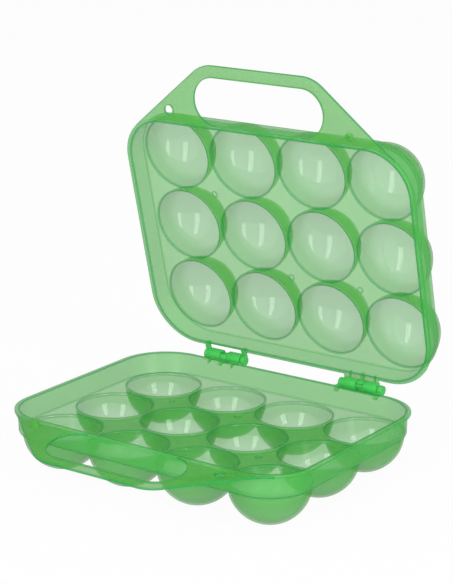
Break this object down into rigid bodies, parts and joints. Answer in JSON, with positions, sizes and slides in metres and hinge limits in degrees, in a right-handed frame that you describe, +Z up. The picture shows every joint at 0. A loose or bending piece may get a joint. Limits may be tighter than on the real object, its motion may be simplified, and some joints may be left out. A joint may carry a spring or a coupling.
{
  "type": "egg carrier box",
  "caption": "Translucent green plastic egg carrier box standing open, two alike cupped halves on a snap hinge, each with a carrying handle and a snap stud",
  "frame": {"origin": "centre of the open box's footprint, at the level of the lower cups' feet", "axes": "+X along the hinge axis, to the right as seen from the handle side; -Y towards the lower handle; +Z up"},
  "size_m": [0.208, 0.2306, 0.235],
  "materials": {
    "tray_polypropylene": "satin, translucent",
    "cup_polypropylene": "gloss, translucent",
    "handle_polypropylene": "satin, translucent",
    "hinge_polypropylene": "satin, translucent"
  },
  "bodies": {
    "base": {"base_tray": "tray_polypropylene", "base_handle": "handle_polypropylene", "base_hinge_bar": "hinge_polypropylene", "base_hinge_hook": "hinge_polypropylene", "base_cup_row_1_column_1": "cup_polypropylene", "base_cup_row_1_column_2": "cup_polypropylene", "base_cup_row_1_column_3": "cup_polypropylene", "base_cup_row_1_column_4": "cup_polypropylene", "base_cup_row_2_column_1": "cup_polypropylene", "base_cup_row_2_column_2": "cup_polypropylene", "base_cup_row_2_column_3": "cup_polypropylene", "base_cup_row_2_column_4": "cup_polypropylene", "base_cup_row_3_column_1": "cup_polypropylene", "base_cup_row_3_column_2": "cup_polypropylene", "base_cup_row_3_column_3": "cup_polypropylene", "base_cup_row_3_column_4": "cup_polypropylene"},
    "lid": {"lid_tray": "tray_polypropylene", "lid_handle": "handle_polypropylene", "lid_hinge_bar": "hinge_polypropylene", "lid_hinge_hook": "hinge_polypropylene", "lid_cup_row_1_column_1": "cup_polypropylene", "lid_cup_row_1_column_2": "cup_polypropylene", "lid_cup_row_1_column_3": "cup_polypropylene", "lid_cup_row_1_column_4": "cup_polypropylene", "lid_cup_row_2_column_1": "cup_polypropylene", "lid_cup_row_2_column_2": "cup_polypropylene", "lid_cup_row_2_column_3": "cup_polypropylene", "lid_cup_row_2_column_4": "cup_polypropylene", "lid_cup_row_3_column_1": "cup_polypropylene", "lid_cup_row_3_column_2": "cup_polypropylene", "lid_cup_row_3_column_3": "cup_polypropylene", "lid_cup_row_3_column_4": "cup_polypropylene"}
  },
  "joints": [
    {"name": "lid_hinge", "type": "hinge", "parent": "base", "child": "lid", "pos_m": [0, 0.08584, 0.03803], "axis": [1, 0, 0], "range_deg": [-104, 76]}
  ]
}
